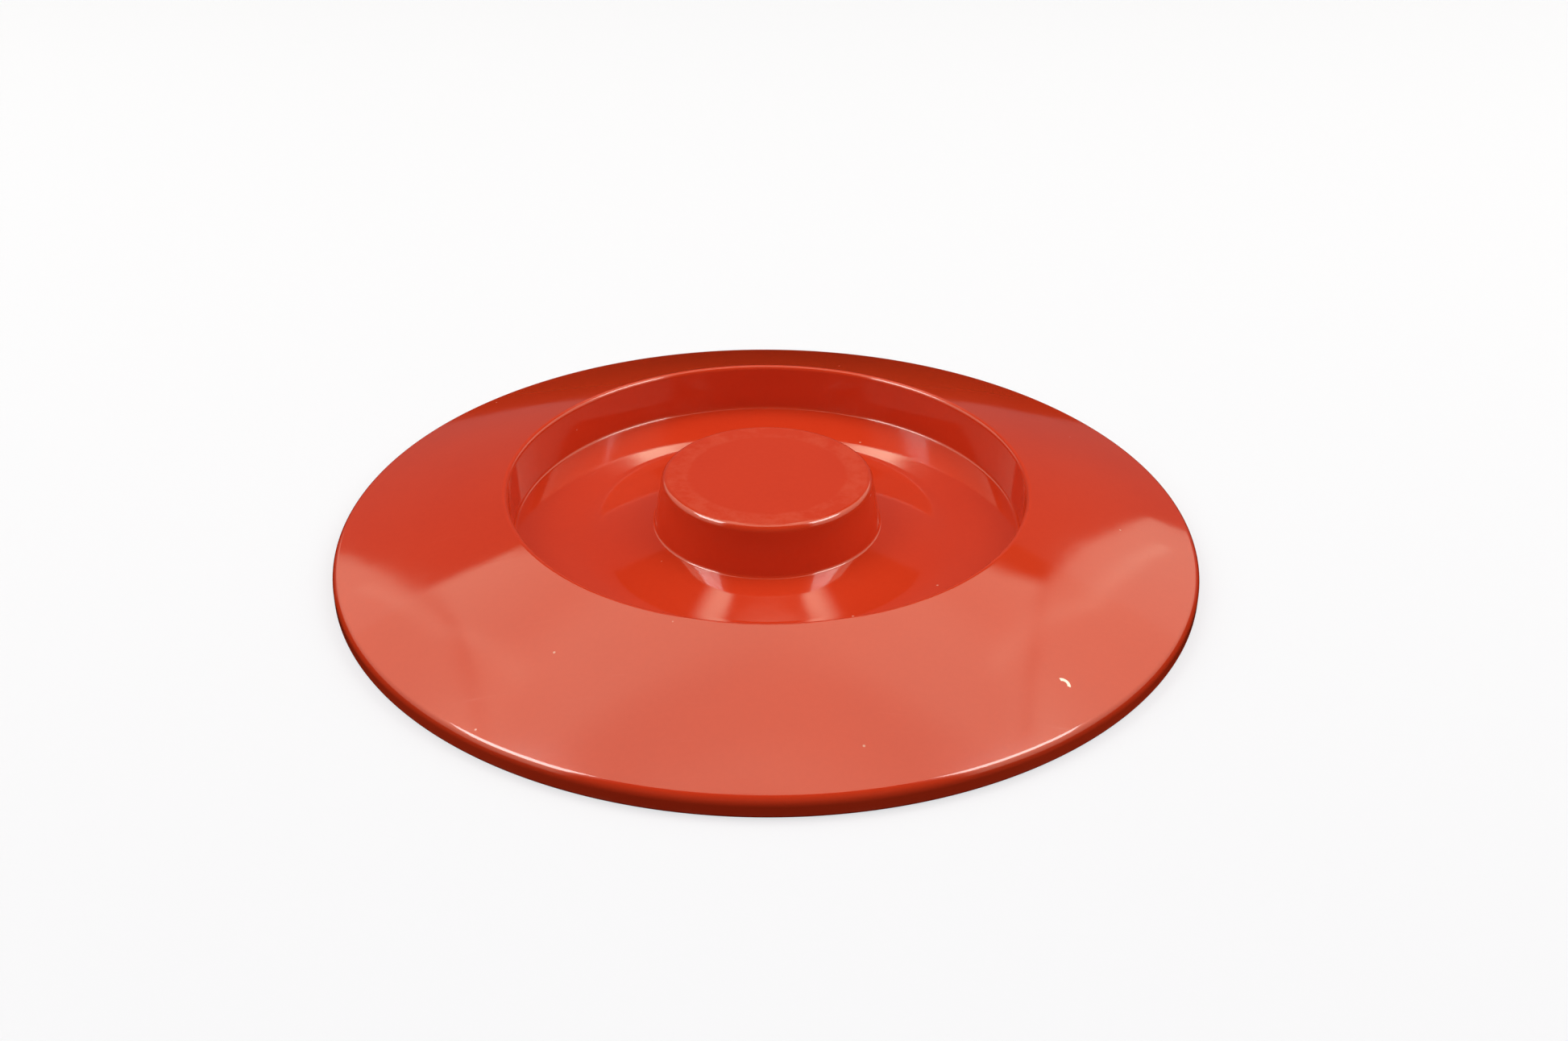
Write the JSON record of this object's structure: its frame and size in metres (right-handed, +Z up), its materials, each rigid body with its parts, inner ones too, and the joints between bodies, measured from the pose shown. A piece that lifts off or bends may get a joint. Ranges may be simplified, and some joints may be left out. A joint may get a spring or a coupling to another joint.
{
  "type": "serving dish lid",
  "caption": "Round one-piece lid with a sloping brim, a sunken well and a drum-shaped knob in the well; hollow underneath.",
  "frame": {"origin": "on the lid's axis, in the plane that its rim stands on", "axes": "+Z up along the lid's axis, from the rim's foot to the knob; the lid is round, so +X and +Y are equal"},
  "size_m": [0.2, 0.2, 0.0192],
  "materials": {
    "lid_plastic": "glossy moulded orange-red, lightly scuffed"
  },
  "bodies": {
    "root": {"lid": "lid_plastic"}
  },
  "joints": []
}
